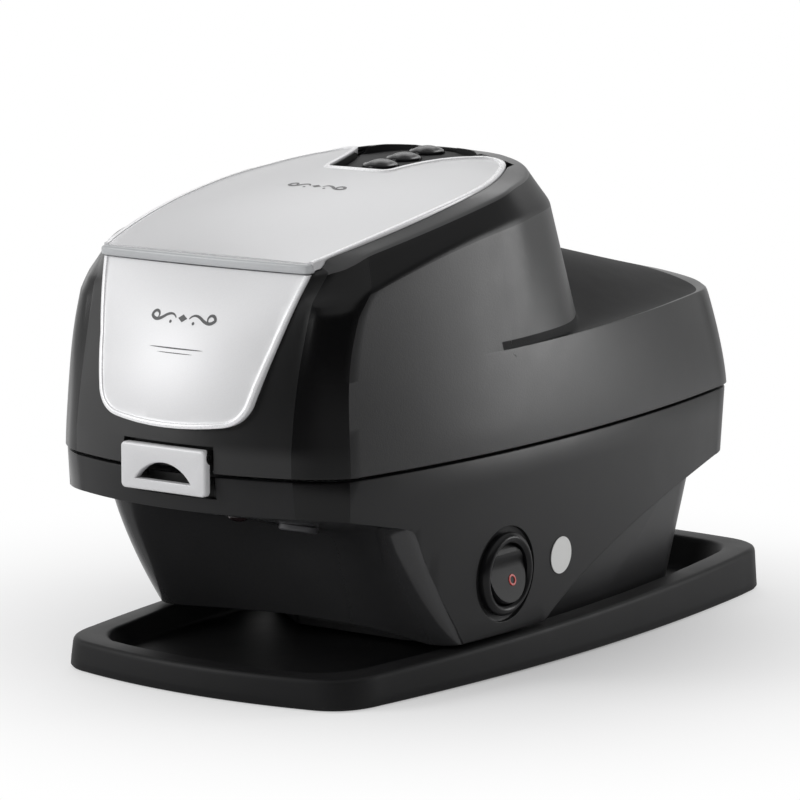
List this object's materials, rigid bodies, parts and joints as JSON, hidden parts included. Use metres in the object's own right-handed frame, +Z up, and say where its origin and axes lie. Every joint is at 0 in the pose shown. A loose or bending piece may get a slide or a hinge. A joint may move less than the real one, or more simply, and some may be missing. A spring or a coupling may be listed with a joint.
{
  "type": "hot lather machine",
  "caption": "Countertop hot lather dispenser with a hinged top lid, latched cover, three push buttons, side rocker switch and removable drip tray.",
  "frame": {"origin": "centre of the whole machine's footprint on the surface it stands on", "axes": "+X to the machine's right as seen from the front, +Y towards the rear, +Z up; the front faces -Y"},
  "size_m": [0.1146, 0.228, 0.1378],
  "materials": {
    "black_plastic": "fine moulded grain",
    "smooth_black": "smooth black",
    "silver_panel": "satin silver",
    "grey_plastic": "satin",
    "tray_black": "matte",
    "button_black": "gloss",
    "dark_rubber": "matte",
    "red_mark": "printed",
    "white_label": "satin",
    "steel": "brushed",
    "aluminium_block": "machined",
    "board_green": "board",
    "copper_winding": "wound and taped",
    "clear_tank": "translucent",
    "silicone": "soft"
  },
  "bodies": {
    "tray": {"drip_tray": "tray_black", "tray_pads": "dark_rubber"},
    "base": {"lower_housing": "black_plastic", "foot_shell": "smooth_black", "base_plate": "black_plastic", "base_feet": "dark_rubber", "base_screws": "steel", "chassis": "grey_plastic", "latch_keeper": "grey_plastic", "rear_hinge_lower": "grey_plastic", "rear_hinge_pin": "steel", "switch_housing": "smooth_black", "inspection_dot": "white_label", "nozzle": "grey_plastic", "sensor_window": "smooth_black", "sensor_board": "board_green", "heater_block": "aluminium_block", "thermostat": "steel", "outlet_hose": "silicone", "soap_tank": "clear_tank", "foam_chamber": "clear_tank", "chamber_lid": "grey_plastic", "motor": "steel", "feed_hose": "silicone", "power_board": "board_green", "transformer": "copper_winding", "power_inlet": "smooth_black"},
    "cover": {"upper_cover": "black_plastic", "front_fascia": "silver_panel", "control_panel": "smooth_black", "button_board": "board_green", "lid_pins": "steel", "lid_hinge_brackets": "grey_plastic", "rear_hinge_upper": "grey_plastic", "latch_bracket": "black_plastic", "latch_pin": "steel"},
    "lid": {"top_lid": "silver_panel", "lid_lip": "silver_panel", "lid_seal": "dark_rubber", "lid_hinge_blocks": "grey_plastic"},
    "latch": {"latch_plate": "silver_panel"},
    "front_button": {"button_front": "button_black"},
    "middle_button": {"button_middle": "button_black"},
    "rear_button": {"button_rear": "button_black"},
    "rocker": {"switch_rocker": "smooth_black", "switch_mark": "red_mark"},
    "beater_shaft": {"beater": "steel"}
  },
  "joints": [
    {"name": "lift_off", "type": "slide", "parent": "tray", "child": "base", "axis": [0, 0, 1], "range_m": [0, 0.06]},
    {"name": "cover_hinge", "type": "hinge", "parent": "base", "child": "cover", "pos_m": [0, 0.1117, 0.062], "axis": [-1, 0, 0], "range_deg": [0, 75]},
    {"name": "lid_hinge", "type": "hinge", "parent": "cover", "child": "lid", "pos_m": [0.0255, 0, 0.1323], "axis": [-1, 0, 0], "range_deg": [0, 70]},
    {"name": "latch_hinge", "type": "hinge", "parent": "cover", "child": "latch", "pos_m": [0.008, -0.1112, 0.0664], "axis": [-1, 0, 0], "range_deg": [0, 25]},
    {"name": "front_button_press", "type": "slide", "parent": "cover", "child": "front_button", "axis": [0, 0.0906, -0.9959], "range_m": [0, 0.0012], "stiffness_N_per_m": 700},
    {"name": "middle_button_press", "type": "slide", "parent": "cover", "child": "middle_button", "axis": [0, 0.0906, -0.9959], "range_m": [0, 0.0012], "stiffness_N_per_m": 700},
    {"name": "rear_button_press", "type": "slide", "parent": "cover", "child": "rear_button", "axis": [0, 0.0906, -0.9959], "range_m": [0, 0.0012], "stiffness_N_per_m": 700},
    {"name": "rocker_tilt", "type": "hinge", "parent": "base", "child": "rocker", "pos_m": [0.05252, -0.0331, 0.02754], "axis": [0, 1, 0], "range_deg": [0, 18]},
    {"name": "beater_spin", "type": "hinge", "parent": "base", "child": "beater_shaft", "pos_m": [0, -0.006, 0.08], "axis": [0, 0, 1], "continuous": true}
  ]
}
